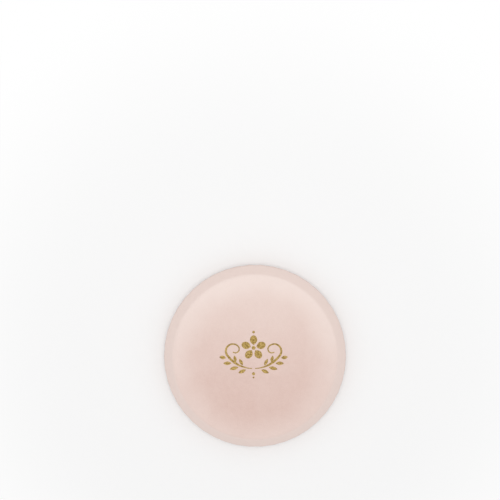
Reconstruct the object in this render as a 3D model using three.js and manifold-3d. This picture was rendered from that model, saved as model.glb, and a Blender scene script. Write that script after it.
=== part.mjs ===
// Round powder puff: two velour covers, sewn together inside out, turned and filled with a foam disc.
// Millimetres, +Z up. The puff lies on its plain side with the printed side up, and the origin is the
// middle of the face that it rests on.
import * as THREE from 'three';
import { mergeVertices } from 'three/addons/utils/BufferGeometryUtils.js';
import Module from 'manifold-3d';

const wasm = await Module();
wasm.setup();

// Driving dimensions of the outside
const PUFF_DIAMETER = 60; // across the turned edges at the seam
const FACE_DIAMETER = 53.4; // across each side, between the corners that the foam makes in the cloth
const PRINTED_SIDE_HEIGHT = 4.4; // from the seam up to the corner of the printed side
const PRINTED_SIDE_CROWN = 1.0; // rise of the printed side from its corner to its middle
const PRINTED_CORNER_RADIUS = 1.4;
const PLAIN_SIDE_HEIGHT = 4.8; // from the seam down to the resting face
const PLAIN_CORNER_RADIUS = 2.6;

// Driving dimensions of the cloth and its seam
const CLOTH_THICKNESS = 0.8;
const FOLD_INSIDE_RADIUS = 0.2; // inside of the turned edge
const SEAM_ALLOWANCE = 4.4; // width of each edge turned into the puff
const SEAM_GAP = 0.2; // between the two turned edges
const THREAD_DIAMETER = 0.36;
const THREAD_CLEARANCE = 0.2; // between the thread and the cloth
const STITCH_LENGTH = 3.7;
const STITCH_BITE = 1.4; // from the raw edge to the needle holes
const SLANT_MARGIN = 0.1; // share of a stitch that stays straight at each end of its slanting part
const TURNING_GAP = 28; // length of seam that is left open for the foam, then closed from outside
const TURNING_GAP_MIDDLE = -90; // degrees round from +X

// Driving dimensions of the filling
const FOAM_CLEARANCE = 0.2; // between the foam and what touches it
const FOAM_EDGE_RADIUS = 0.7;

// Fineness of the facets
const ROUND_SEGMENTS = 40;
const CROWN_STEPS = 2;
const ARC_STEPS = 3;
const HOLE_SIDES = 6;
const THREAD_SIDES = 5;
const MERGE_DISTANCE = 1e-4; // under which two points of a facet are one

// Sizes that follow
const puffRadius = PUFF_DIAMETER / 2;
const faceRadius = FACE_DIAMETER / 2;
const foldRadius = FOLD_INSIDE_RADIUS + CLOTH_THICKNESS;
const threadRadius = THREAD_DIAMETER / 2;
const rawEdgeRadius = puffRadius - SEAM_ALLOWANCE;
const holeCircleRadius = rawEdgeRadius + STITCH_BITE;
const holeRadius = threadRadius + THREAD_CLEARANCE;
const turnedEdgeTop = SEAM_GAP / 2 + CLOTH_THICKNESS;
const stitchHeight = turnedEdgeTop + THREAD_CLEARANCE + threadRadius;
const stitchInnerRadius = rawEdgeRadius - THREAD_CLEARANCE - threadRadius;
const stitchBend = THREAD_DIAMETER; // size of the bends in the thread
const stitchCount = Math.round((2 * Math.PI * holeCircleRadius) / STITCH_LENGTH);
const closingCount = Math.round(TURNING_GAP / STITCH_LENGTH);
const stitchAngle = (2 * Math.PI) / stitchCount;
const firstClosingAngle = THREE.MathUtils.degToRad(TURNING_GAP_MIDDLE) - (closingCount / 2) * stitchAngle;

// Cloth, foam and thread
const velour = new THREE.MeshStandardMaterial({ color: 0xe6cbc3, roughness: 0.95, metalness: 0 });
const foam = new THREE.MeshStandardMaterial({ color: 0xf3e6d2, roughness: 1, metalness: 0 });
const cotton = new THREE.MeshStandardMaterial({ color: 0xe9d3cc, roughness: 0.7, metalness: 0 });

// Each side of the puff, measured outwards from the seam.
const printedSide = {
  up: 1,
  height: PRINTED_SIDE_HEIGHT,
  crown: PRINTED_SIDE_CROWN,
  crownSteps: CROWN_STEPS,
  cornerRadius: PRINTED_CORNER_RADIUS,
};
const plainSide = {
  up: -1,
  height: PLAIN_SIDE_HEIGHT,
  crown: 0,
  crownSteps: 1,
  cornerRadius: PLAIN_CORNER_RADIUS,
};

// The points of a line through corners, each rounded by its own radius.
function roundedLine(corners) {
  const line = [];
  corners.forEach(({ at, radius = 0 }, i) => {
    if (radius === 0 || i === 0 || i === corners.length - 1) {
      line.push(at);
      return;
    }
    const back = corners[i - 1].at.clone().sub(at).normalize();
    const ahead = corners[i + 1].at.clone().sub(at).normalize();
    const halfAngle = Math.acos(back.dot(ahead)) / 2;
    const middle = back.clone().add(ahead).normalize();
    const centre = at.clone().addScaledVector(middle, radius / Math.sin(halfAngle));
    const first = at.clone().addScaledVector(back, radius / Math.tan(halfAngle)).sub(centre);
    const turn = (Math.PI - 2 * halfAngle) * Math.sign(back.cross(ahead)) * -1;
    for (let step = 0; step <= ARC_STEPS; step++) {
      const angle = first.angle() + (turn * step) / ARC_STEPS;
      line.push(new THREE.Vector2(Math.cos(angle), Math.sin(angle)).multiplyScalar(radius).add(centre));
    }
  });
  return line;
}

// The line moved sideways by a distance, to its right when it is followed from its start.
function movedToRight(line, distance) {
  const toRight = (from, to) => new THREE.Vector2(to.y - from.y, from.x - to.x).normalize();
  return line.map((at, i) => {
    const before = toRight(line[Math.max(i - 1, 0)], line[Math.max(i, 1)]);
    const after = toRight(line[Math.min(i, line.length - 2)], line[Math.min(i + 1, line.length - 1)]);
    const middle = before.clone().add(after).normalize();
    const moved = at.clone().addScaledVector(middle, distance / middle.dot(before));
    if (i === 0) moved.x = 0; // the first point stays on the axis
    return moved;
  });
}

// The middle of a side, from the axis out to its corner.
function crownPoints(side) {
  return Array.from({ length: side.crownSteps + 1 }, (_, i) => {
    const share = i / side.crownSteps;
    return new THREE.Vector2(faceRadius * share, side.height + side.crown * (1 - share ** 2));
  });
}

// The corners of a cover's outer face: across the side, down the slope to the seam, round the fold and in to
// the raw edge.
function clothCorners(side) {
  const across = crownPoints(side);
  const corner = across[across.length - 1];
  const foldCentre = new THREE.Vector2(puffRadius - foldRadius, SEAM_GAP / 2 + foldRadius);
  const toFold = foldCentre.clone().sub(corner);
  // The slope touches the outside of the fold.
  const slope = Math.atan2(toFold.y, toFold.x) + Math.asin(foldRadius / toFold.length());
  const seamReach = (corner.y - SEAM_GAP / 2) / -Math.tan(slope);
  const edge = new THREE.Vector2(corner.x + seamReach, SEAM_GAP / 2);
  return [
    ...across.slice(0, -1).map((at) => ({ at })),
    { at: corner, radius: side.cornerRadius },
    { at: edge, radius: foldRadius },
    { at: new THREE.Vector2(rawEdgeRadius, SEAM_GAP / 2) },
  ];
}

// The inner face of a cover, from the axis to the raw edge.
function clothInside(side) {
  return movedToRight(clothCorners(side).map(({ at }) => at), CLOTH_THICKNESS);
}

// How far from the axis the closing thread runs: as far out in the folds of both covers as it fits.
function ladderRadius() {
  const reach = [printedSide, plainSide].map((side) => {
    const [corner, fold] = clothInside(side).slice(-3);
    const wall = fold.clone().sub(corner);
    const wallRadius = corner.x + (wall.x * (stitchHeight - corner.y)) / wall.y;
    return wallRadius - (holeRadius * wall.length()) / -wall.y;
  });
  return Math.min(...reach);
}

// A closed profile turned about +Z. Its points run upwards along the outside.
function turned(profile) {
  return new THREE.LatheGeometry(profile, ROUND_SEGMENTS).rotateX(Math.PI / 2);
}

function solidFrom(geometry) {
  const bare = geometry.clone().deleteAttribute('normal').deleteAttribute('uv');
  const merged = mergeVertices(bare, MERGE_DISTANCE);
  return new wasm.Manifold(
    new wasm.Mesh({
      numProp: 3,
      vertProperties: merged.attributes.position.array,
      triVerts: new Uint32Array(merged.index.array),
    }),
  );
}

function geometryFrom(solid) {
  const { vertProperties, triVerts } = solid.getMesh();
  const geometry = new THREE.BufferGeometry()
    .setAttribute('position', new THREE.BufferAttribute(vertProperties, 3))
    .setIndex(new THREE.BufferAttribute(triVerts, 1));
  geometry.computeVertexNormals();
  return geometry;
}

// A point of the seam: its distance from the axis, its height from the seam, and its place along the seam
// counted in stitches from the start of the turning gap.
function seamPoint(radius, height, place) {
  const angle = firstClosingAngle + place * stitchAngle;
  return new THREE.Vector3(radius * Math.cos(angle), radius * Math.sin(angle), height);
}

// The needle holes of the whole seam, as pins to cut the turned edges with.
function needlePins() {
  return Array.from({ length: stitchCount }, (_, k) => {
    const isClosing = k <= closingCount;
    const { x, y } = seamPoint(isClosing ? ladderRadius() : holeCircleRadius, 0, k);
    return new THREE.CylinderGeometry(holeRadius, holeRadius, 2 * stitchHeight, HOLE_SIDES)
      .rotateX(Math.PI / 2)
      .translate(x, y, 0);
  });
}

// One cover: velour with its edge turned in and pierced for the seam. Its bends are round outside and sharp
// inside, where the cloth is squeezed.
function cover(side) {
  const outside = roundedLine(clothCorners(side));
  const inside = clothInside(side);
  const profile = [...inside, ...outside.reverse()].map((p) => new THREE.Vector2(p.x, side.up * p.y));
  if (side.up < 0) profile.reverse();
  const cloth = needlePins().reduce((left, pin) => left.subtract(solidFrom(pin)), solidFrom(turned(profile)));
  return geometryFrom(cloth);
}

// The foam disc, with the waist that the turned edges and their stitches press into its side.
function foamCore() {
  const depth = CLOTH_THICKNESS + FOAM_CLEARANCE;
  const radius = faceRadius - depth;
  const waistRadius = stitchInnerRadius - threadRadius - FOAM_CLEARANCE;
  const waistHeight = stitchHeight + threadRadius + FOAM_CLEARANCE;
  const shoulderHeight = waistHeight + Math.max(radius - waistRadius, 0);
  const halfProfile = (side) => {
    const across = crownPoints(side)
      .slice(0, -1)
      .map((at) => ({ at: new THREE.Vector2((at.x * radius) / faceRadius, at.y - depth) }));
    const edgeRadius = Math.max(side.cornerRadius - depth, FOAM_EDGE_RADIUS);
    return roundedLine([
      ...across,
      { at: new THREE.Vector2(radius, side.height - depth), radius: edgeRadius },
      { at: new THREE.Vector2(radius, Math.min(shoulderHeight, side.height - depth - edgeRadius)) },
      { at: new THREE.Vector2(Math.min(waistRadius, radius), waistHeight) },
    ]).map((p) => new THREE.Vector2(p.x, side.up * p.y));
  };
  return turned([...halfProfile(plainSide), ...halfProfile(printedSide).reverse()]);
}

// A curve whose steps fall on the points that it is given.
class SteppedCurve extends THREE.CatmullRomCurve3 {
  getUtoTmapping(share) {
    return share;
  }
}

// The line of the thread that whips the two raw edges together: down through each needle hole, in under
// the edges, up round them and slanting over to the next hole. Each bend is cut by two points.
function whipStitchLine() {
  const stitch = [
    { radius: holeCircleRadius, height: stitchHeight - stitchBend, share: 0 },
    { radius: holeCircleRadius, height: stitchBend - stitchHeight, share: 0 },
    { radius: holeCircleRadius - stitchBend, height: -stitchHeight, share: 0 },
    { radius: stitchInnerRadius + stitchBend, height: -stitchHeight, share: 0 },
    { radius: stitchInnerRadius, height: stitchBend - stitchHeight, share: 0 },
    { radius: stitchInnerRadius, height: stitchHeight - stitchBend, share: SLANT_MARGIN / 2 },
    { radius: stitchInnerRadius + stitchBend, height: stitchHeight, share: SLANT_MARGIN },
    { radius: holeCircleRadius - stitchBend, height: stitchHeight, share: 1 - SLANT_MARGIN },
  ];
  const points = [];
  for (let k = closingCount + 1; k < stitchCount; k++) {
    points.push(...stitch.map(({ radius, height, share }) => seamPoint(radius, height, k + share)));
  }
  return new SteppedCurve(points);
}

// The line of the thread that closes the turning gap with a ladder stitch: it runs in the fold of one cover,
// crosses to the other, runs in its fold and crosses back.
function ladderStitchLine() {
  const radius = ladderRadius();
  const bendShare = stitchBend / (radius * stitchAngle);
  const points = [];
  for (let k = 0; k <= closingCount; k++) {
    const from = k % 2 === 0 ? stitchHeight : -stitchHeight;
    const nearFrom = Math.sign(from) * (stitchHeight - stitchBend);
    points.push(
      seamPoint(radius, from, k - bendShare),
      seamPoint(radius, nearFrom, k),
      seamPoint(radius, -nearFrom, k),
      seamPoint(radius, -from, k + bendShare),
    );
  }
  return new SteppedCurve(points);
}

// The least free space between a thread's own turns, measured on the points of its line.
function leastGap({ points }) {
  const neighbours = 3;
  let least = Infinity;
  points.forEach((a, i) => {
    for (let j = i + neighbours; j < points.length; j++) {
      least = Math.min(least, a.distanceTo(points[j]) - THREAD_DIAMETER);
    }
  });
  return least;
}

function thread(name, line) {
  const section = new THREE.Shape(
    Array.from({ length: THREAD_SIDES }, (_, i) => {
      const angle = (2 * Math.PI * i) / THREAD_SIDES;
      return new THREE.Vector2(threadRadius * Math.cos(angle), threadRadius * Math.sin(angle));
    }),
  );
  console.log(`${name}: least gap to itself ${leastGap(line).toFixed(2)} mm`);
  return new THREE.ExtrudeGeometry(section, {
    steps: line.points.length - 1,
    extrudePath: line,
    bevelEnabled: false,
  });
}

function named(name, geometry, material) {
  const mesh = new THREE.Mesh(geometry, material);
  mesh.name = name;
  return mesh;
}

// The pieces are made about the seam, which stands above the resting face.
const puff = new THREE.Group();
const aboutSeam = new THREE.Group();
aboutSeam.position.z = PLAIN_SIDE_HEIGHT;
aboutSeam.add(
  named('printed_cover', cover(printedSide), velour),
  named('plain_cover', cover(plainSide), velour),
  named('foam_core', foamCore(), foam),
  named('seam_thread', thread('seam_thread', whipStitchLine()), cotton),
  named('closing_thread', thread('closing_thread', ladderStitchLine()), cotton),
);
puff.add(aboutSeam);

export default puff;
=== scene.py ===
"""Round powder puff: two velour covers sewn over a foam disc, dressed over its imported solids."""

import logging
import math
import random
from dataclasses import dataclass, field, replace
from enum import Enum

import bmesh
import bpy
from bmesh.types import BMEdge, BMesh, BMVert
from bpy.types import Material, Mesh, Node, NodeSocket, NodeTree, Object
from mathutils import Matrix, Vector, noise
from mathutils.bvhtree import BVHTree


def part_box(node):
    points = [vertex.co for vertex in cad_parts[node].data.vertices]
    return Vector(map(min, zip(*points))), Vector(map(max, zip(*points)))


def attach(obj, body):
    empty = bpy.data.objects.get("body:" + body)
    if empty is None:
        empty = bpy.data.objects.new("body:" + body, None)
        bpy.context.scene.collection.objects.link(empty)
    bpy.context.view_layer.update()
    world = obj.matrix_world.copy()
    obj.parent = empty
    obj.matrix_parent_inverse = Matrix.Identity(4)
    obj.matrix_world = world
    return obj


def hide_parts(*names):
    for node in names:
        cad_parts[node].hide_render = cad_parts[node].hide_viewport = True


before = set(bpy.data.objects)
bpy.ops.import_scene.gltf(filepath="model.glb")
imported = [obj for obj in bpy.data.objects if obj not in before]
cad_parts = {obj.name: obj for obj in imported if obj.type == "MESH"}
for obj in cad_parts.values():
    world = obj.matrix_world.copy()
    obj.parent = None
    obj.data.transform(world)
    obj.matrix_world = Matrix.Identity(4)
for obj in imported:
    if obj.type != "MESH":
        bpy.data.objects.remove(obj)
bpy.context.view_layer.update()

MM = 0.001
SAME_POINT = 1e-7
FACES_UP = 0.5

Pair = tuple[float, float]
Triple = tuple[float, float, float]

log = logging.getLogger("powder_puff")


class Side(Enum):
    """The two sides of the puff. The value is the way the side faces along Z."""

    PRINTED = 1
    PLAIN = -1


class Stitch(Enum):
    """The two ways in which the edges are sewn."""

    WHIP = "whip"
    LADDER = "ladder"


# Finishes


@dataclass(frozen=True)
class Nodes:
    """Adds and links the nodes of one shader tree."""

    tree: NodeTree

    def add(self, kind: str, inputs: dict[str | int, object], **settings: object) -> Node:
        """Adds a node.

        Args:
            kind: Type of the node.
            inputs: Sockets or plain values for its inputs, by name or place.
            settings: Values of the node's own properties.

        Returns:
            The new node.
        """
        node = self.tree.nodes.new(kind)
        for label, value in settings.items():
            setattr(node, label, value)
        for label, value in inputs.items():
            if isinstance(value, NodeSocket):
                self.tree.links.new(value, node.inputs[label])
            else:
                node.inputs[label].default_value = value
        return node

    def calc(self, operation: str, first: object, second: object) -> NodeSocket:
        """Adds a Math node on two sockets or numbers and returns its output."""
        return self.add("ShaderNodeMath", {0: first, 1: second}, operation=operation).outputs[0]

    def ramp(self, value: NodeSocket, low: float, high: float, start: float, end: float) -> NodeSocket:
        """Adds a clamped, smooth Map Range node.

        Args:
            value: Socket to map.
            low: Value that gives start.
            high: Value that gives end.
            start: Result at low.
            end: Result at high.

        Returns:
            The node's output socket.
        """
        limits = {"From Min": low, "From Max": high, "To Min": start, "To Max": end}
        node = self.add("ShaderNodeMapRange", {"Value": value} | limits, interpolation_type="SMOOTHSTEP")
        return node.outputs["Result"]

    def mix(self, share: NodeSocket, first: object, second: object) -> NodeSocket:
        """Adds a colour Mix node.

        Args:
            share: Socket of the share of the second colour.
            first: Socket or linear colour at share 0.
            second: Socket or linear colour at share 1.

        Returns:
            The node's colour output socket.
        """
        inputs = {0: share}
        for place, value in ((6, first), (7, second)):
            inputs[place] = value if isinstance(value, NodeSocket) else (*value, 1.0)
        return self.add("ShaderNodeMix", inputs, data_type="RGBA").outputs[2]

    def seen(self) -> NodeSocket:
        """Adds a mask that is 1 for camera, mirrored and transmitted rays.

        Returns:
            The mask's output socket.
        """
        rays = self.add("ShaderNodeLightPath", {}).outputs
        through = self.calc("MAXIMUM", rays["Is Glossy Ray"], rays["Is Transmission Ray"])
        return self.calc("MAXIMUM", rays["Is Camera Ray"], through)


def pile_group() -> NodeTree:
    """Makes the shared group for fibres: fine grain, soft tufts and a slow drift of the nap.

    Returns:
        A group that gives a shade, a drift, a height and a grain, from 0 to 1, at a position.
    """
    name = "pile"
    if name in bpy.data.node_groups:
        return bpy.data.node_groups[name]
    tree = bpy.data.node_groups.new(name, "ShaderNodeTree")
    tree.interface.new_socket("Position", in_out="INPUT", socket_type="NodeSocketVector")
    tree.interface.new_socket("Grains per Metre", in_out="INPUT", socket_type="NodeSocketFloat")
    for label in ("Shade", "Drift", "Height", "Grain"):
        tree.interface.new_socket(label, in_out="OUTPUT", socket_type="NodeSocketFloat")
    inward = tree.nodes.new("NodeGroupInput").outputs
    outward = tree.nodes.new("NodeGroupOutput").inputs
    nodes = Nodes(tree)

    def texture(kind: str, share: float, values: dict[str, float]) -> NodeSocket:
        """Adds a texture whose scale is a share of the grain's, and returns its first output."""
        scale = nodes.calc("MULTIPLY", inward["Grains per Metre"], share)
        return nodes.add(kind, {"Vector": inward["Position"], "Scale": scale} | values).outputs[0]

    def blend(first: NodeSocket, share: float, second: NodeSocket) -> NodeSocket:
        """Blends two values by the share of the first, and returns the output."""
        rest = nodes.calc("MULTIPLY", second, 1.0 - share)
        return nodes.calc("ADD", nodes.calc("MULTIPLY", first, share), rest)

    grain = texture("ShaderNodeTexNoise", 1.0, {"Detail": 3.0, "Roughness": 0.65})
    tufts = texture("ShaderNodeTexVoronoi", 0.55, {"Randomness": 1.0})
    tuft = nodes.ramp(tufts, low=0.1, high=0.75, start=1.0, end=0.0)
    patch = texture("ShaderNodeTexNoise", 0.16, {"Detail": 2.0, "Roughness": 0.5, "Distortion": 0.6})
    drift = texture("ShaderNodeTexNoise", 0.022, {"Detail": 2.0, "Roughness": 0.45, "Distortion": 0.8})
    height = blend(grain, share=0.55, second=tuft)
    tree.links.new(blend(patch, share=0.6, second=height), outward["Shade"])
    tree.links.new(nodes.ramp(drift, low=0.3, high=0.7, start=0.0, end=1.0), outward["Drift"])
    tree.links.new(height, outward["Height"])
    tree.links.new(grain, outward["Grain"])
    return tree


@dataclass(frozen=True)
class Finish:
    """A matt finish of fibres: two linear colours, the size of a grain and the height of its relief."""

    name: str
    dark: Triple
    light: Triple
    grain: float
    relief: float
    roughness: float
    specular: float = 0.2
    sheen: float = 0.0

    def material(self) -> Material:
        """Builds the material.

        Returns:
            The finished material.
        """
        material = bpy.data.materials.new(self.name)
        material.use_nodes = True
        nodes = Nodes(material.node_tree)
        shader = material.node_tree.nodes["Principled BSDF"]
        shader.inputs["Roughness"].default_value = self.roughness
        shader.inputs["Specular IOR Level"].default_value = self.specular
        shader.inputs["Sheen Weight"].default_value = self.sheen
        position = nodes.add("ShaderNodeTexCoord", {}).outputs["Object"]
        grains = {"Position": position, "Grains per Metre": 1.0 / self.grain}
        pile = nodes.add("ShaderNodeGroup", grains, node_tree=pile_group())
        if self.relief > 0.0:
            bump = nodes.add("ShaderNodeBump", {"Distance": self.relief, "Height": pile.outputs["Height"]})
            nodes.tree.links.new(bump.outputs["Normal"], shader.inputs["Normal"])
        nodes.tree.links.new(self.colour(nodes, pile, position), shader.inputs["Base Color"])
        self.dress(nodes, pile, shader)
        return material

    def colour(self, nodes: Nodes, pile: Node, position: NodeSocket) -> NodeSocket:
        """Colours the fibres by their shade, and returns the colour's socket."""
        return nodes.mix(pile.outputs["Shade"], self.dark, self.light)

    def dress(self, nodes: Nodes, pile: Node, shader: Node) -> None:
        """Adds what else the finish has. Plain fibres have nothing else."""


@dataclass(frozen=True)
class Velour(Finish):
    """Short cut pile, with light painted into its colour: paler towards +Y, a painted light from the top
    of the picture; paler towards the corner, a painted sheen on the shoulder; and set to one paleness on
    the slope, painted light there.

    The shares tell how pale the painted light makes it towards +Y, how pale its random drift makes it, how
    pale the painted sheen makes it at the corner and how pale it is set on the slope. The pairs of lengths
    tell where along Y, or how far from the axis, each change starts and ends.
    """

    pale: Triple = (0.905, 0.765, 0.71)
    # Share of painted light towards +Y, the top of the picture.
    painted_top_light: float = 0.58
    drifts: float = 0.10
    # Share of painted sheen towards the corner.
    painted_shoulder_sheen: float = 0.42
    # Paleness set on the slope, painted light.
    painted_slope_light: float = 0.80
    painted_top_light_along: Pair = (-22.0 * MM, 28.0 * MM)
    painted_shoulder_sheen_at: Pair = (17.0 * MM, 26.5 * MM)
    slope_at: Pair = (26.4 * MM, 27.3 * MM)
    gleam_roughness: float = 0.45
    gleam_tint: Triple = (1.0, 0.92, 0.89)

    def colour(self, nodes: Nodes, pile: Node, position: NodeSocket) -> NodeSocket:
        """Colours the pile by its grain and its random drift, with painted light towards +Y, a painted
        sheen towards the corner and a painted paleness on the slope.

        Args:
            nodes: Nodes of the material.
            pile: Its pile group node.
            position: Socket of the place on the piece.

        Returns:
            The socket of the colour.
        """
        no_height = {0: position, 1: (1.0, 1.0, 0.0)}
        flat = nodes.add("ShaderNodeVectorMath", no_height, operation="MULTIPLY").outputs[0]
        radius = nodes.add("ShaderNodeVectorMath", {0: flat}, operation="LENGTH").outputs["Value"]
        along = nodes.add("ShaderNodeSeparateXYZ", {0: position}).outputs["Y"]
        # Painted light: paler towards +Y, the top of the picture.
        paler = nodes.ramp(along, *self.painted_top_light_along, 0.0, self.painted_top_light)
        paler = nodes.calc("ADD", paler, nodes.calc("MULTIPLY", pile.outputs["Drift"], self.drifts))
        # Painted sheen: paler towards the corner of the face.
        paler = nodes.calc("ADD", paler, nodes.ramp(radius, *self.painted_shoulder_sheen_at, 0.0, self.painted_shoulder_sheen))
        # Painted light: on the slope the paleness is set to one share.
        slope = nodes.ramp(radius, *self.slope_at, 0.0, 1.0)
        change = nodes.calc("MULTIPLY", slope, nodes.calc("SUBTRACT", self.painted_slope_light, paler))
        paler = nodes.calc("ADD", paler, change)
        fibres = nodes.mix(pile.outputs["Shade"], self.dark, self.light)
        return nodes.mix(paler, fibres, self.pale)

    def dress(self, nodes: Nodes, pile: Node, shader: Node) -> None:
        """Adds the soft, warm gleam of the fibre tips."""
        shader.inputs["Sheen Roughness"].default_value = self.gleam_roughness
        shader.inputs["Sheen Tint"].default_value = (*self.gleam_tint, 1.0)


@dataclass(frozen=True)
class Foil(Finish):
    """Stamped metal foil, mottled by the grain under it and duller where the pile lies low."""

    mottled: Pair = (0.29, 0.71)
    worn: Pair = (0.25, 0.6)
    dulled: float = 0.2

    def colour(self, nodes: Nodes, pile: Node, position: NodeSocket) -> NodeSocket:
        """Colours the foil by the grain under it, and returns the colour's socket."""
        return nodes.mix(nodes.ramp(pile.outputs["Grain"], *self.mottled, 0.0, 1.0), self.dark, self.light)

    def dress(self, nodes: Nodes, pile: Node, shader: Node) -> None:
        """Makes the finish metal and its gleam uneven."""
        dullest = self.roughness + self.dulled
        uneven = nodes.ramp(pile.outputs["Height"], *self.worn, dullest, self.roughness)
        nodes.tree.links.new(uneven, shader.inputs["Roughness"])
        shader.inputs["Metallic"].default_value = 1.0


VELOUR = Velour(
    "velour", dark=(0.70, 0.50, 0.44), light=(0.80, 0.60, 0.54), grain=0.24 * MM, relief=0.05 * MM,
    roughness=0.95, specular=0.15, sheen=0.2,
)
# Painted light: the tips are a paler copy of the velour, so that their own shade doesn't show as dark
# specks.
PAINTED_LIGHT_TIPS = replace(VELOUR, name="velour_tips_painted_light", dark=(0.80, 0.60, 0.54), light=(0.86, 0.68, 0.62), relief=0.0)
FOAM = Finish(
    "foam", dark=(0.72, 0.60, 0.44), light=(0.92, 0.83, 0.68), grain=0.5 * MM, relief=0.2 * MM,
    roughness=1.0,
)
THREAD = Finish(
    "thread", dark=(0.66, 0.47, 0.42), light=(0.84, 0.68, 0.63), grain=0.08 * MM, relief=0.02 * MM,
    roughness=0.75, sheen=0.2,
)
FOIL = Foil(
    "gold_foil", dark=(0.22, 0.135, 0.032), light=(0.68, 0.48, 0.175), grain=0.42 * MM, relief=0.02 * MM,
    roughness=0.32,
)


# Pieces


@dataclass(frozen=True)
class Section:
    """Sizes that the pieces share, in metres. Heights are measured from the seam.

    A higher crown_power keeps the crown flat further out.
    """

    puff_radius: float = 30.0 * MM
    face_radius: float = 26.7 * MM
    seam_height: float = 4.8 * MM
    printed_height: float = 4.4 * MM
    printed_crown: float = 1.0 * MM
    crown_power: float = 2.6
    printed_corner: float = 1.4 * MM
    plain_height: float = 4.8 * MM
    plain_corner: float = 2.6 * MM
    cloth: float = 0.8 * MM
    cut_disc: float = 71.0 * MM
    fold_inside: float = 0.2 * MM
    seam_gap: float = 0.2 * MM
    seam_allowance: float = 4.4 * MM
    thread: float = 0.36 * MM
    thread_clearance: float = 0.2 * MM
    stitch_bite: float = 1.4 * MM
    stitch_length: float = 3.7 * MM
    turning_gap: float = 28.0 * MM
    turning_middle: float = math.radians(-90.0)

    @property
    def fold_radius(self) -> float:
        """Outer radius of the turned edge."""
        return self.fold_inside + self.cloth

    @property
    def raw_edge(self) -> float:
        """Distance of the raw edge from the axis."""
        return self.puff_radius - self.seam_allowance

    @property
    def hole_circle(self) -> float:
        """Distance of the whip stitch's needle holes from the axis."""
        return self.raw_edge + self.stitch_bite

    @property
    def stitches(self) -> int:
        """Number of stitches round the whole seam."""
        return round(2 * math.pi * self.hole_circle / self.stitch_length)

    @property
    def closing(self) -> int:
        """Number of stitches in the turning gap."""
        return round(self.turning_gap / self.stitch_length)

    @property
    def stitch_angle(self) -> float:
        """Angle from stitch to stitch."""
        return 2 * math.pi / self.stitches

    @property
    def first_closing(self) -> float:
        """Angle at which the turning gap starts."""
        return self.turning_middle - self.closing / 2 * self.stitch_angle

    @property
    def stitch_height(self) -> float:
        """Height of the thread's middle above the turned edge."""
        return self.seam_gap / 2 + self.cloth + self.thread_clearance + self.thread / 2

    def crown_at(self, radius: float) -> float:
        """Tells how far the printed side rises over its corner, at a distance from the axis."""
        return self.printed_crown * (1.0 - min(radius / self.face_radius, 1.0) ** self.crown_power)


def smooth_step(value: float, low: float, high: float) -> float:
    """Eases from 0 to 1.

    Args:
        value: Where to read the step.
        low: Value that gives 0.
        high: Value that gives 1.

    Returns:
        The eased share.
    """
    share = min(max((value - low) / (high - low), 0.0), 1.0)
    return share * share * (3.0 - 2.0 * share)


def ahead(heading: float) -> Vector:
    """Gives the unit vector along a heading in the XY plane, in radians from +X."""
    return Vector((math.cos(heading), math.sin(heading), 0.0))


def left_of(heading: float) -> Vector:
    """Gives the unit vector to the left of a heading in the XY plane, in radians from +X."""
    return Vector((-math.sin(heading), math.cos(heading), 0.0))


def even_steps(bm: BMesh, length: float) -> None:
    """Cuts the edges of a line into steps.

    Args:
        bm: The line.
        length: The longest step.
    """
    for edge in bm.edges[:]:
        cuts = math.ceil(edge.calc_length() / length) - 1
        if cuts > 0:
            bmesh.ops.subdivide_edges(bm, edges=[edge], cuts=cuts)


def turned(bm: BMesh, steps: int) -> None:
    """Turns a line in the XZ plane once about the Z axis.

    Args:
        bm: The line. It becomes a round shape with merged vertices.
        steps: Number of steps round the axis.
    """
    line = bm.verts[:] + bm.edges[:]
    bmesh.ops.spin(
        bm, geom=line, cent=(0.0, 0.0, 0.0), axis=(0.0, 0.0, 1.0), angle=2 * math.pi, steps=steps,
        use_merge=True,
    )
    bmesh.ops.remove_doubles(bm, verts=bm.verts[:], dist=SAME_POINT)
    bmesh.ops.recalc_face_normals(bm, faces=bm.faces[:])


def placed(bm: BMesh, name: str, material: Material) -> Object:
    """Turns a finished bmesh into a piece at the origin that rides with the puff.

    Args:
        bm: The shape, in metres in the puff's frame. It is freed.
        name: Name of the piece.
        material: Its material.

    Returns:
        The new object.
    """
    mesh = bpy.data.meshes.new(name)
    bm.to_mesh(mesh)
    bm.free()
    mesh.materials.append(material)
    mesh.shade_smooth()
    piece = bpy.data.objects.new(name, mesh)
    bpy.context.scene.collection.objects.link(piece)
    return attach(piece, "root")


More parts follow.
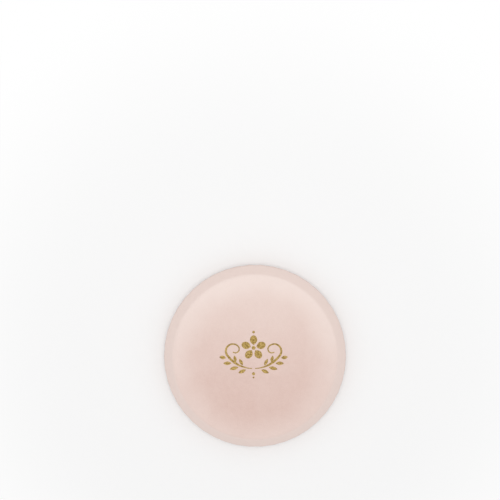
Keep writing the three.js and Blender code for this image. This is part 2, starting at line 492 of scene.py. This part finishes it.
@dataclass
class ClothBench:
    """Where a cover is swelled by simulation, enlarged so that cloth settings for cushions hold."""

    enlarge: float = 10.0
    frames: int = 20
    quality: int = 6
    pressure: float = 1.2
    most_move: float = 0.35 * MM

    def settle(self, bm: BMesh, held: list[float], table: float) -> None:
        """Swells an open cloth shape in place and limits how far each point moves.

        Args:
            bm: The cloth, in metres.
            held: How firmly each vertex is held, from 0 to 1, in vertex order.
            table: Height over which a table stops the cloth.
        """
        scene = bpy.context.scene
        start = [v.co.copy() for v in bm.verts]
        mesh = bpy.data.meshes.new("bench")
        bm.to_mesh(mesh)
        mesh.transform(Matrix.Scale(self.enlarge, 4))
        bench = bpy.data.objects.new("bench", mesh)
        scene.collection.objects.link(bench)
        group = bench.vertex_groups.new(name="held")
        for index, weight in enumerate(held):
            group.add([index], weight, "REPLACE")
        cloth = bench.modifiers.new("cloth", "CLOTH")
        cloth.settings.quality = self.quality
        cloth.settings.vertex_group_mass = group.name
        cloth.settings.use_pressure = True
        cloth.settings.uniform_pressure_force = self.pressure
        cloth.settings.effector_weights.gravity = 0.0
        cloth.collision_settings.use_collision = False
        for step in range(1, self.frames + 1):
            scene.frame_set(step)
        swelled = bench.evaluated_get(bpy.context.evaluated_depsgraph_get())
        moves = [v.co / self.enlarge - at for v, at in zip(swelled.data.vertices, start)]
        for vertex, at, move in zip(bm.verts, start, moves):
            vertex.co = at + move * min(1.0, self.most_move / max(move.length, SAME_POINT))
            vertex.co.z = min(vertex.co.z, table)
        log.info("cloth moved %.2f mm at most", max(m.length for m in moves) / MM)
        bpy.data.objects.remove(bench)
        bpy.data.meshes.remove(mesh)
        scene.frame_set(1)


@dataclass
class Cover:
    """One velour cover: a disc over the foam, a slope to the seam, a fold and a turned-in edge.

    seam_hold is in fold radii above the seam, corner_hold is a distance from the corner, and ease_top is a
    share of the height. uneven_detail is the fractal's smoothness, step in scale and number of steps.
    """

    name: str
    side: Side
    section: Section
    finish: Velour
    bench: ClothBench = field(default_factory=ClothBench)
    turns_per_stitch: int = 3
    fold_steps: int = 8
    corner_steps: int = 5
    coarse: float = 0.62 * MM
    seam_hold: Pair = (1.2, 2.6)
    corner_hold: Pair = (0.6 * MM, 2.2 * MM)
    stitch_hold: float = 0.2
    least_hold: float = 0.02
    ease: float = 0.18 * MM
    ease_top: float = 0.75
    ease_spread: float = 0.4
    ease_patch: float = 5.0 * MM
    unevenness: float = 0.05 * MM
    uneven_patch: float = 9.0 * MM
    uneven_shift: Triple = (3.1, 1.7, 0.0)
    uneven_detail: tuple[float, float, int] = (1.0, 2.0, 4)

    @property
    def height(self) -> float:
        """Height of the corner over the seam."""
        return self.section.printed_height if self.side is Side.PRINTED else self.section.plain_height

    @property
    def corner_radius(self) -> float:
        """Radius of the corner over the foam."""
        return self.section.printed_corner if self.side is Side.PRINTED else self.section.plain_corner

    def outer_face(self) -> BMesh:
        """Draws the outer face's line with round bends, turns it and crowns the printed side.

        Returns:
            The cover's outer face as an open shape, measured outwards from the seam.
        """
        s = self.section
        fold = Vector((s.puff_radius - s.fold_radius, 0.0, s.seam_gap / 2 + s.fold_radius))
        top = Vector((s.face_radius, 0.0, self.height))
        slope = math.atan2(fold.z - top.z, fold.x - top.x) + math.asin(s.fold_radius / (fold - top).length)
        bm = bmesh.new()
        raw_edge = bm.verts.new((s.raw_edge, 0.0, s.seam_gap / 2))
        bend = bm.verts.new((fold.x, 0.0, s.seam_gap / 2))
        around = bmesh.ops.spin(
            bm, geom=[bend], cent=fold, axis=(0.0, -1.0, 0.0), angle=math.pi + slope, steps=self.fold_steps
        )
        touch = next(v for v in around["geom_last"] if isinstance(v, BMVert))
        corner = bm.verts.new(top)
        axis = bm.verts.new((0.0, 0.0, self.height))
        for ends in ((raw_edge, bend), (touch, corner), (corner, axis)):
            bm.edges.new(ends)
        bmesh.ops.bevel(
            bm, geom=[corner], offset=self.corner_radius * math.tan(-slope / 2), offset_type="OFFSET",
            segments=self.corner_steps, profile=0.5, affect="VERTICES", material=-1,
        )
        even_steps(bm, self.coarse)
        turned(bm, s.stitches * self.turns_per_stitch)
        if max(bm.faces, key=lambda f: f.calc_center_median().z).normal.z < 0.0:
            bmesh.ops.reverse_faces(bm, faces=bm.faces[:])
        for vertex in bm.verts:
            if self.side is Side.PRINTED and vertex.co.z > self.height / 2:
                vertex.co.z += s.crown_at(vertex.co.xy.length)
        return bm

    def stitch_pull(self, at: Vector) -> float:
        """Tells how near a point is to a stitch along the seam, from 1 at a stitch to 0 midway."""
        place = (math.atan2(at.y, at.x) - self.section.first_closing) / self.section.stitch_angle
        return 0.5 + 0.5 * math.cos(2 * math.pi * place)

    def held(self, bm: BMesh) -> list[float]:
        """Tells how firmly the seam and the foam's corner hold each point.

        Args:
            bm: The cover's outer face.

        Returns:
            A weight from 0 to 1 for each vertex.
        """
        s = self.section
        corner = Vector((s.face_radius, self.height))
        seam_low, seam_high = (share * s.fold_radius for share in self.seam_hold)
        weights = []
        for vertex in bm.verts:
            at = Vector((vertex.co.xy.length, vertex.co.z))
            seam = 1.0 - smooth_step(at.y, seam_low, seam_high)
            seam *= 1.0 - self.stitch_hold + self.stitch_hold * self.stitch_pull(vertex.co)
            foam = 1.0 - smooth_step((at - corner).length, *self.corner_hold)
            turned_in = 1.0 if at.x < s.puff_radius - s.fold_radius and at.y < s.fold_radius else 0.0
            weights.append(min(1.0, max(seam, foam, turned_in, self.least_hold)))
        return weights

    def eased(self, bm: BMesh) -> None:
        """Draws the fold in at each stitch and makes the cloth slightly uneven.

        Args:
            bm: The cover's outer face, subdivided.
        """
        fold_middle = self.section.fold_radius / 2
        shift = Vector(self.uneven_shift)
        bm.normal_update()
        for vertex in bm.verts:
            at = vertex.co.copy()
            near_seam = 1.0 - smooth_step(at.z, fold_middle, self.ease_top * self.height)
            own = 1.0 - self.ease_spread + self.ease_spread * noise.noise(at / self.ease_patch)
            pull = self.ease * near_seam * self.stitch_pull(at) * own
            free = smooth_step(at.z, fold_middle, self.height)
            patch = at / self.uneven_patch + shift
            lift = noise.fractal(patch, *self.uneven_detail) * self.unevenness * free
            if self.side is Side.PLAIN:
                lift = min(lift, 0.0)
            inward = Vector((-at.x, -at.y, 0.0)).normalized()
            vertex.co = at + inward * pull + vertex.normal * lift

    def surface(self) -> BMesh:
        """Makes the finished outer face.

        Returns:
            The outer face as an open shape in the puff's frame.
        """
        bm = self.outer_face()
        table = self.height if self.side is Side.PLAIN else math.inf
        self.bench.settle(bm, self.held(bm), table)
        bmesh.ops.subdivide_edges(bm, edges=bm.edges[:], cuts=1, use_grid_fill=True, smooth=0.0)
        self.eased(bm)
        turn = Matrix.Identity(4) if self.side is Side.PRINTED else Matrix.Rotation(math.pi, 4, "X")
        lift = Matrix.Translation((0.0, 0.0, self.section.seam_height))
        bmesh.ops.transform(bm, matrix=lift @ turn, verts=bm.verts[:])
        bm.normal_update()
        return bm

    def build(self, surface: BMesh) -> Object:
        """Builds the cover as a closed cloth of even thickness.

        Args:
            surface: Its outer face. It is freed.

        Returns:
            The finished piece.
        """
        bmesh.ops.solidify(surface, geom=surface.faces[:], thickness=self.section.cloth)
        piece = placed(surface, self.name + "_velour", self.finish.material())
        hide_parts(self.name)
        return piece


@dataclass
class Pile:
    """The fibre tips that stand out of a cover, as fine closed spikes combed towards +Y.

    shortest is the share of the length that the shortest tips have, and seam_clear is in fold radii.
    """

    name: str
    section: Section
    finish: Velour
    per_square_mm: float = 10.0
    length: float = 0.38 * MM
    combing: float = 0.45
    spread: float = 0.6
    shortest: float = 0.5
    width: float = 0.02 * MM
    root: float = 0.05 * MM
    seam_clear: float = 0.5
    seed: int = 5

    def spike(self) -> Mesh:
        """Makes one closed spike of three sides.

        Returns:
            A mesh that is 1 wide, from its root at the origin to its tip at Z = 1.
        """
        bm = bmesh.new()
        stand = Matrix.Translation((0.0, 0.0, 0.5))
        bmesh.ops.create_cone(
            bm, cap_ends=True, segments=3, radius1=0.5, radius2=0.0, depth=1.0, matrix=stand
        )
        mesh = bpy.data.meshes.new("spike")
        bm.to_mesh(mesh)
        bm.free()
        return mesh

    def place(self, at: Vector, way: Vector, chance: random.Random) -> Matrix:
        """Leans, turns and sizes one spike.

        Args:
            at: Its place on the cover.
            way: The way the cover faces there.
            chance: Source of its own length and lean.

        Returns:
            The matrix that sets the spike there.
        """
        lean = Vector((chance.gauss(0.0, self.spread), chance.gauss(self.combing, self.spread), 0.0))
        axis = way + lean - way * lean.dot(way)
        turn = axis.to_track_quat("Z", "Y").to_matrix().to_4x4()
        spun = Matrix.Rotation(chance.uniform(0.0, math.tau), 4, "Z")
        length = self.root + self.length * chance.uniform(self.shortest, 1.0)
        size = Matrix.Diagonal((self.width, self.width, length, 1.0))
        return Matrix.Translation(at - way * self.root) @ turn @ spun @ size

    def grow(self, surface: BMesh, print_area: BVHTree, clear: float) -> Object:
        """Grows the tips on the part of a cover that shows, except under the print and on the table.

        Args:
            surface: The cover's outer face, in the puff's frame.
            print_area: The flat drawing of the print.
            clear: How far from the print the tips start.

        Returns:
            The finished piece.
        """
        s = self.section
        chance = random.Random(self.seed)
        spike = self.spike()
        plain = [x for vertex in spike.vertices for x in vertex.co]
        bm = bmesh.new()
        ways = []
        for face in surface.faces:
            middle = face.calc_center_median()
            if abs(middle.z - s.seam_height) < self.seam_clear * s.fold_radius:
                continue
            count = face.calc_area() / MM**2 * self.per_square_mm
            for _ in range(int(count) + (chance.random() < count % 1.0)):
                shares = [chance.random() for _ in face.verts]
                at = sum((v.co * share for v, share in zip(face.verts, shares)), Vector()) / sum(shares)
                flat = Vector((at.x, at.y, 0.0))
                printed = face.normal.z > FACES_UP and print_area.find_nearest(flat, clear)[0] is not None
                if not printed and at.z > self.length:
                    spike.vertices.foreach_set("co", plain)
                    spike.transform(self.place(at, face.normal, chance))
                    bm.from_mesh(spike)
                    ways += [face.normal.copy()] * len(spike.vertices)
        bpy.data.meshes.remove(spike)
        piece = placed(bm, self.name, self.finish.material())
        piece.data.normals_split_custom_set_from_vertices(ways)
        piece.visible_shadow = False
        return piece


@dataclass
class FoamCore:
    """The foam disc, with the waist that the seam presses into its side."""

    section: Section
    finish: Finish
    clearance: float = 0.2 * MM
    lead: float = 1.1 * MM
    edge_radius: float = 0.45 * MM
    edge_steps: int = 3
    coarse: float = 0.9 * MM
    cell: float = 0.8 * MM
    cell_depth: float = 0.06 * MM
    steps: int = 160

    def build(self) -> Object:
        """Builds the foam with a cut, uneven skin.

        Returns:
            The finished piece.
        """
        s = self.section
        depth = s.cloth + self.clearance
        radius = s.face_radius - depth
        waist = s.raw_edge - s.thread_clearance - s.thread - self.clearance
        waist_height = s.stitch_height + s.thread / 2 + self.clearance
        top, bottom = s.printed_height - depth, depth - s.plain_height
        bm = bmesh.new()
        line = [
            bm.verts.new((x, 0.0, z))
            for x, z in (
                (0.0, top),
                (radius, top),
                (radius, waist_height + self.lead),
                (waist, waist_height),
                (waist, -waist_height),
                (radius, -waist_height - self.lead),
                (radius, bottom),
                (0.0, bottom),
            )
        ]
        for start, end in zip(line, line[1:]):
            bm.edges.new((start, end))
        bmesh.ops.bevel(
            bm, geom=line[1:-1], offset=self.edge_radius, offset_type="OFFSET",
            segments=self.edge_steps, profile=0.5, affect="VERTICES", material=-1,
        )
        even_steps(bm, self.coarse)
        turned(bm, self.steps)
        bm.normal_update()
        sunk = [v.co - v.normal * abs(noise.noise(v.co / self.cell)) * self.cell_depth for v in bm.verts]
        for vertex, at in zip(bm.verts, sunk):
            crown = s.crown_at(at.xy.length) if at.z > waist_height else 0.0
            vertex.co = at + Vector((0.0, 0.0, crown + s.seam_height))
        piece = placed(bm, "foam_disc", self.finish.material())
        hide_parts("foam_core")
        return piece


@dataclass
class SeamThread:
    """One of the two threads, run through the needle holes of both turned edges.

    The slant's shares tell where a whip stitch rises, lands on the upper edge and nears the next hole.
    """

    name: str
    stitch: Stitch
    section: Section
    finish: Finish
    fullness: float = 0.92
    slant: Triple = (0.05, 0.1, 0.9)
    round_steps: int = 2
    bend_steps: int = 4

    def at(self, radius: float, height: float, place: float) -> Vector:
        """Finds a point of the seam.

        Args:
            radius: Distance from the axis.
            height: Height from the seam.
            place: Place along the seam in stitches from the start of the turning gap.

        Returns:
            The point in the puff's frame.
        """
        s = self.section
        angle = s.first_closing + place * s.stitch_angle
        return Vector((radius * math.cos(angle), radius * math.sin(angle), s.seam_height + height))

    def whip_line(self) -> list[Vector]:
        """Runs the line over the raw edges, through each hole outside the turning gap.

        Returns:
            The line's points.
        """
        s = self.section
        h, bend, hole = s.stitch_height, s.thread, s.hole_circle
        inner = s.raw_edge - s.thread_clearance - s.thread / 2
        rises, lands, nears = self.slant
        loop = (
            (hole, h - bend, 0.0),
            (hole, bend - h, 0.0),
            (hole - bend, -h, 0.0),
            (inner + bend, -h, 0.0),
            (inner, bend - h, 0.0),
            (inner, h - bend, rises),
            (inner + bend, h, lands),
            (hole - bend, h, nears),
        )
        return [
            self.at(radius, height, k + share)
            for k in range(s.closing + 1, s.stitches)
            for radius, height, share in loop
        ]

    def ladder_line(self) -> list[Vector]:
        """Runs the line in the folds of both covers by turns, across the turning gap.

        Returns:
            The line's points.
        """
        s = self.section
        low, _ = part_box(self.name)
        radius = -low.y - s.thread / 2
        h, bend = s.stitch_height, s.thread
        share = bend / (radius * s.stitch_angle)
        points = []
        for k in range(s.closing + 1):
            way = 1.0 if k % 2 == 0 else -1.0
            points += [
                self.at(radius, way * h, k - share),
                self.at(radius, way * (h - bend), k),
                self.at(radius, -way * (h - bend), k),
                self.at(radius, -way * h, k + share),
            ]
        return points

    def build(self) -> Object:
        """Builds the thread as a round tube along its line.

        Returns:
            The finished piece.
        """
        points = self.whip_line() if self.stitch is Stitch.WHIP else self.ladder_line()
        curve = bpy.data.curves.new(self.name, "CURVE")
        curve.dimensions = "3D"
        curve.bevel_depth = self.fullness * self.section.thread / 2
        curve.bevel_resolution = self.round_steps
        curve.resolution_u = self.bend_steps
        curve.use_fill_caps = True
        spline = curve.splines.new("BEZIER")
        spline.bezier_points.add(len(points) - 1)
        for knot, at in zip(spline.bezier_points, points):
            knot.co = at
            knot.handle_left_type = knot.handle_right_type = "AUTO"
        run = bpy.data.objects.new(self.name + "_run", curve)
        bpy.context.scene.collection.objects.link(run)
        mesh = bpy.data.meshes.new_from_object(run.evaluated_get(bpy.context.evaluated_depsgraph_get()))
        bpy.data.objects.remove(run)
        bm = bmesh.new()
        bm.from_mesh(mesh)
        bpy.data.meshes.remove(mesh)
        bmesh.ops.remove_doubles(bm, verts=bm.verts[:], dist=SAME_POINT)
        bmesh.ops.recalc_face_normals(bm, faces=bm.faces[:])
        piece = placed(bm, self.name + "_spun", self.finish.material())
        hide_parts(self.name)
        return piece


@dataclass
class FoilOrnament:
    """The stamped gold ornament: a blossom between two leafy sprigs.

    Its drawing is in millimetres and degrees. An arc of the scroll is a radius and a turn. A leaf is its
    share of the sprig's first arc, its angle from the stem and its length. petal_tip tells where a petal
    turns round, from -1 at its base to 1 at its tip. A dot is its height and its radius.
    """

    finish: Foil
    middle: Pair = (-0.5, 1.7)
    thickness: float = 0.07 * MM
    press: float = 0.12 * MM
    press_reach: float = 0.55 * MM
    sharp_angle: float = math.radians(40.0)
    sprig_radius: float = 10.4
    sprig_start: Pair = (0.5, -5.2)
    sprig_heading: float = 2.0
    sprig_turn: float = 52.0
    scroll: tuple[Pair, ...] = ((2.3, 175.0), (1.25, 170.0))
    stem_widths: Triple = (0.25, 0.75, 0.35)
    stem_thickest: float = 0.33
    stem_step: float = 9.0
    leaf_gap: float = 0.55
    leaf_steps: int = 24
    outer_leaves: tuple[Triple, ...] = (
        (0.16, -34.0, 2.7),
        (0.42, -36.0, 2.9),
        (0.68, -38.0, 2.7),
        (0.93, -42.0, 2.2),
    )
    outer_width: float = 1.15
    inner_leaves: tuple[Triple, ...] = ((0.30, 44.0, 2.4), (0.58, 44.0, 2.2))
    inner_width: float = 1.0
    blossom_height: float = 1.5
    petals: int = 5
    petal_gap: float = 0.95
    petal_length: float = 3.1
    petal_width: float = 2.35
    petal_tip: Pair = (-0.4, 0.6)
    dots: tuple[Pair, ...] = ((1.5, 0.62), (6.6, 0.42), (-6.9, 0.5), (-8.1, 0.3))
    dot_steps: int = 20

    def dot(self, bm: BMesh, height: float, radius: float) -> None:
        """Adds a round dot on the middle line, of a given height there and radius."""
        place = Matrix.Translation((0.0, height, 0.0))
        bmesh.ops.create_circle(bm, cap_ends=True, segments=self.dot_steps, radius=radius, matrix=place)

    def leaf(
        self, bm: BMesh, base: Vector, heading: float, length: float, width: float, blunt: float
    ) -> None:
        """Adds a leaf or a petal.

        Args:
            bm: Bmesh that gets it.
            base: Where it starts.
            heading: The way it points, in radians from +X.
            length: Its length.
            width: Its width.
            blunt: 0 for a leaf that is pointed at its tip, 1 for a petal that is round there.
        """
        made = bmesh.ops.create_circle(bm, cap_ends=True, segments=self.leaf_steps, radius=1.0)["verts"]
        for vertex in made:
            pointed = max(1.0 - vertex.co.x ** 2, 0.0)
            tip = smooth_step(vertex.co.x, *self.petal_tip) * blunt
            half = pointed * (1.0 - tip) + math.sqrt(pointed) * tip
            vertex.co.y = math.copysign(half, vertex.co.y)
        size = Matrix.Diagonal((length / 2, width / 2, 1.0, 1.0))
        middle = Matrix.Translation(base + ahead(heading) * (length / 2))
        bmesh.ops.transform(bm, matrix=middle @ Matrix.Rotation(heading, 4, "Z") @ size, verts=made)

    def stem(self, bm: BMesh, start: Vector, heading: float, arcs: tuple[Pair, ...]) -> None:
        """Adds a stem made of arcs, which swells and tapers along its length.

        Args:
            bm: Bmesh that gets it.
            start: Where it starts.
            heading: The way it starts, in radians from +X.
            arcs: Radius and signed turn in degrees of each arc; plus turns left.
        """
        first, most, last_width = self.stem_widths
        sides = [bm.verts.new(start + left_of(heading) * (first / 2 * way)) for way in (1.0, -1.0)]
        edge = bm.edges.new(sides)
        total = sum(abs(math.radians(turn)) * radius for radius, turn in arcs)
        done, width = 0.0, first
        for radius, turn in arcs:
            steps = max(1, round(abs(turn) / self.stem_step))
            angle = math.radians(turn) / steps
            middle = (edge.verts[0].co + edge.verts[1].co) / 2
            centre = middle + left_of(heading) * math.copysign(radius, turn)
            for _ in range(steps):
                last = bmesh.ops.spin(
                    bm, geom=[edge], cent=centre, axis=(0.0, 0.0, 1.0), angle=angle, steps=1
                )["geom_last"]
                edge = next(e for e in last if isinstance(e, BMEdge))
                done += abs(angle) * radius
                share = done / total
                new_width = first + (most - first) * smooth_step(share, 0.0, self.stem_thickest)
                new_width += (last_width - most) * smooth_step(share, self.stem_thickest, 1.0)
                middle = (edge.verts[0].co + edge.verts[1].co) / 2
                for vertex in edge.verts:
                    vertex.co = middle + (vertex.co - middle) * (new_width / width)
                width = new_width
            heading += math.radians(turn)

    def sprig_leaf(self, bm: BMesh, place: float, out: float, length: float, width: float) -> None:
        """Adds a leaf beside the stem of the right-hand sprig.

        Args:
            bm: Bmesh that gets it.
            place: Share of the stem's first arc at which it grows.
            out: Signed angle from the stem, in degrees; plus grows to the left.
            length: Its length.
            width: Its width.
        """
        turn = math.radians(self.sprig_heading + self.sprig_turn * place)
        x, y = self.sprig_start
        x += self.sprig_radius * math.sin(turn)
        y += self.sprig_radius * (1.0 - math.cos(turn))
        stem = Vector((x, y, 0.0))
        aside = left_of(turn) * math.copysign(self.leaf_gap, out)
        self.leaf(bm, stem + aside, turn + math.radians(out), length, width, 0.0)

    def flat(self) -> BMesh:
        """Draws the whole ornament flat and sets it at its place on the puff.

        Returns:
            Its faces in metres, at height 0.
        """
        bm = bmesh.new()
        arcs = ((self.sprig_radius, self.sprig_turn), *self.scroll)
        self.stem(bm, Vector((*self.sprig_start, 0.0)), math.radians(self.sprig_heading), arcs)
        for leaf in self.outer_leaves:
            self.sprig_leaf(bm, *leaf, self.outer_width)
        for leaf in self.inner_leaves:
            self.sprig_leaf(bm, *leaf, self.inner_width)
        bmesh.ops.mirror(bm, geom=bm.verts[:] + bm.edges[:] + bm.faces[:], axis="X", merge_dist=0.0)
        blossom = Vector((0.0, self.blossom_height, 0.0))
        for k in range(self.petals):
            heading = math.radians(90.0 + 360.0 / self.petals * k)
            start = blossom + ahead(heading) * self.petal_gap
            self.leaf(bm, start, heading, self.petal_length, self.petal_width, 1.0)
        for height, radius in self.dots:
            self.dot(bm, height, radius)
        bmesh.ops.recalc_face_normals(bm, faces=bm.faces[:])
        place = Matrix.Scale(MM, 4) @ Matrix.Translation((*self.middle, 0.0))
        bmesh.ops.transform(bm, matrix=place, verts=bm.verts[:])
        return bm

    def stamp(self, cover: Object, bm: BMesh, print_area: BVHTree) -> Object:
        """Presses the ornament's outline into a cover and lays the foil in it.

        Args:
            cover: The printed cover's piece. Its pile is pressed down under the foil.
            bm: The flat drawing. It is freed.
            print_area: The same drawing, to measure distances from.

        Returns:
            The foil piece.
        """
        mesh = cover.data
        upper = [v.index for v in mesh.vertices if v.normal.z > FACES_UP]
        for vertex in (mesh.vertices[index] for index in upper):
            flat = Vector((vertex.co.x, vertex.co.y, 0.0))
            _, _, _, away = print_area.find_nearest(flat, self.press_reach)
            if away is not None:
                vertex.co.z -= self.press * (1.0 - smooth_step(away, 0.0, self.press_reach))
        mesh.update()
        surface = BVHTree.FromPolygons([v.co for v in mesh.vertices], [p.vertices for p in mesh.polygons])
        top = bmesh.ops.extrude_face_region(bm, geom=bm.faces[:])["geom"]
        raised = {v for v in top if isinstance(v, BMVert)}
        down = Vector((0.0, 0.0, -1.0))
        for vertex in bm.verts:
            hit, _, _, _ = surface.ray_cast(Vector((vertex.co.x, vertex.co.y, 1.0)), down)
            vertex.co.z = hit.z + (self.thickness / 2 if vertex in raised else -self.thickness / 2)
        bmesh.ops.recalc_face_normals(bm, faces=bm.faces[:])
        foil = placed(bm, "gold_ornament", self.finish.material())
        foil.data.set_sharp_from_angle(angle=self.sharp_angle)
        return foil


# Surroundings


@dataclass
class Studio:
    """Pale floor, soft light and the camera above the puff."""

    scale: float = 3.0167  # pixels of the 500 pixel frame to a millimetre, at the seam
    frame_pixels: float = 500.0
    middle_pixels: Pair = (255.0, 355.3)
    camera_height: float = 0.25
    camera_clip: float = 0.01
    sensor: float = 36.0
    sky: float = 0.72
    lamp_watts: float = 0.31
    lamp_size: float = 0.16
    lamp_at: Triple = (0.0, 0.04, 0.34)
    floor_size: float = 1.5
    floor_drop: float = 0.02 * MM
    floor_tone: float = 0.97
    floor_bounce: float = 0.75
    floor_roughness: float = 0.9
    floor_specular: float = 0.1
    fade: Pair = (50.0 * MM, 130.0 * MM)

    def floor(self) -> None:
        """Lays the floor a hair under the puff.

        It reflects less than it shows and melts into white away from the puff. Seen from below it isn't
        there, and then it doesn't keep light off the resting face either.
        """
        bm = bmesh.new()
        lower = Matrix.Translation((0.0, 0.0, -self.floor_drop))
        bmesh.ops.create_grid(bm, x_segments=1, y_segments=1, size=self.floor_size, matrix=lower)
        mesh = bpy.data.meshes.new("floor")
        bm.to_mesh(mesh)
        bm.free()
        material = bpy.data.materials.new("floor")
        material.use_nodes = True
        nodes = Nodes(material.node_tree)
        shader = material.node_tree.nodes["Principled BSDF"]
        shader.inputs["Roughness"].default_value = self.floor_roughness
        shader.inputs["Specular IOR Level"].default_value = self.floor_specular
        seen = nodes.seen()
        tone = nodes.mix(seen, (self.floor_bounce,) * 3, (self.floor_tone,) * 3)
        nodes.tree.links.new(tone, shader.inputs["Base Color"])
        position = nodes.add("ShaderNodeTexCoord", {}).outputs["Object"]
        away = nodes.add("ShaderNodeVectorMath", {0: position}, operation="LENGTH").outputs["Value"]
        far = nodes.calc("MULTIPLY", nodes.ramp(away, *self.fade, 0.0, 1.0), seen)
        white = nodes.add("ShaderNodeEmission", {}).outputs["Emission"]
        top = nodes.add("ShaderNodeMixShader", {0: far, 1: shader.outputs["BSDF"], 2: white}).outputs[0]
        below = nodes.add("ShaderNodeNewGeometry", {}).outputs["Backfacing"]
        passed = nodes.add("ShaderNodeLightPath", {}).outputs["Transparent Depth"]
        gone = nodes.calc("MAXIMUM", below, nodes.calc("GREATER_THAN", passed, 0.5))
        clear = nodes.add("ShaderNodeBsdfTransparent", {}).outputs["BSDF"]
        both = nodes.add("ShaderNodeMixShader", {0: gone, 1: top, 2: clear}).outputs[0]
        nodes.tree.links.new(both, material.node_tree.nodes["Material Output"].inputs["Surface"])
        mesh.materials.append(material)
        plane = bpy.data.objects.new("floor", mesh)
        bpy.context.scene.collection.objects.link(plane)

    def light(self) -> None:
        """Sets an even surrounding light and one soft lamp, a little towards the top of the picture."""
        world = bpy.data.worlds.new("studio")
        world.use_nodes = True
        nodes = Nodes(world.node_tree)
        background = world.node_tree.nodes["Background"]
        sky = nodes.mix(nodes.seen(), (self.sky,) * 3, (1.0, 1.0, 1.0))
        nodes.tree.links.new(sky, background.inputs["Color"])
        bpy.context.scene.world = world
        lamp = bpy.data.lights.new("key", "AREA")
        lamp.shape = "DISK"
        lamp.size = self.lamp_size
        lamp.energy = self.lamp_watts
        key = bpy.data.objects.new("key", lamp)
        key.location = self.lamp_at
        key.rotation_euler = (-key.location).to_track_quat("-Z", "Y").to_euler()
        key.visible_camera = False
        key.visible_glossy = False
        bpy.context.scene.collection.objects.link(key)

    def camera(self, seam_height: float) -> None:
        """Looks straight down on the puff.

        Args:
            seam_height: Height of the seam above the floor.
        """
        view = bpy.data.cameras.new("camera")
        view.sensor_width = self.sensor
        view.lens = self.sensor * self.camera_height / (self.frame_pixels / self.scale * MM)
        view.clip_start = self.camera_clip
        across = (self.frame_pixels / 2 - self.middle_pixels[0]) / self.scale * MM
        up = (self.middle_pixels[1] - self.frame_pixels / 2) / self.scale * MM
        camera = bpy.data.objects.new("camera", view)
        camera.location = (across, up, seam_height + self.camera_height)
        bpy.context.scene.collection.objects.link(camera)
        bpy.context.scene.camera = camera


def main() -> None:
    """Builds the puff and its surroundings."""
    logging.basicConfig(level=logging.INFO, format="%(name)s: %(message)s")
    bpy.context.scene.view_settings.view_transform = "Standard"
    section = Section()
    ornament = FoilOrnament(FOIL)
    drawing = ornament.flat()
    print_area = BVHTree.FromBMesh(drawing)
    covers, piles = [], []
    for name, side in (("printed", Side.PRINTED), ("plain", Side.PLAIN)):
        cover = Cover(name + "_cover", side, section, VELOUR)
        surface = cover.surface()
        piles.append(Pile(name + "_pile", section, PAINTED_LIGHT_TIPS).grow(surface, print_area, ornament.press_reach))
        covers.append(cover.build(surface))
    printed, plain = covers
    foam = FoamCore(section, FOAM).build()
    seam = SeamThread("seam_thread", Stitch.WHIP, section, THREAD).build()
    closing = SeamThread("closing_thread", Stitch.LADDER, section, THREAD).build()
    foil = ornament.stamp(printed, drawing, print_area)
    for piece in (printed, plain, foam, seam, closing, foil, *piles):
        size = [round(length, 4) for length in piece.dimensions]
        log.info("%s: %d faces, %s m", piece.name, len(piece.data.polygons), size)
    studio = Studio()
    studio.floor()
    studio.light()
    studio.camera(section.seam_height)


if __name__ == "__main__":
    main()
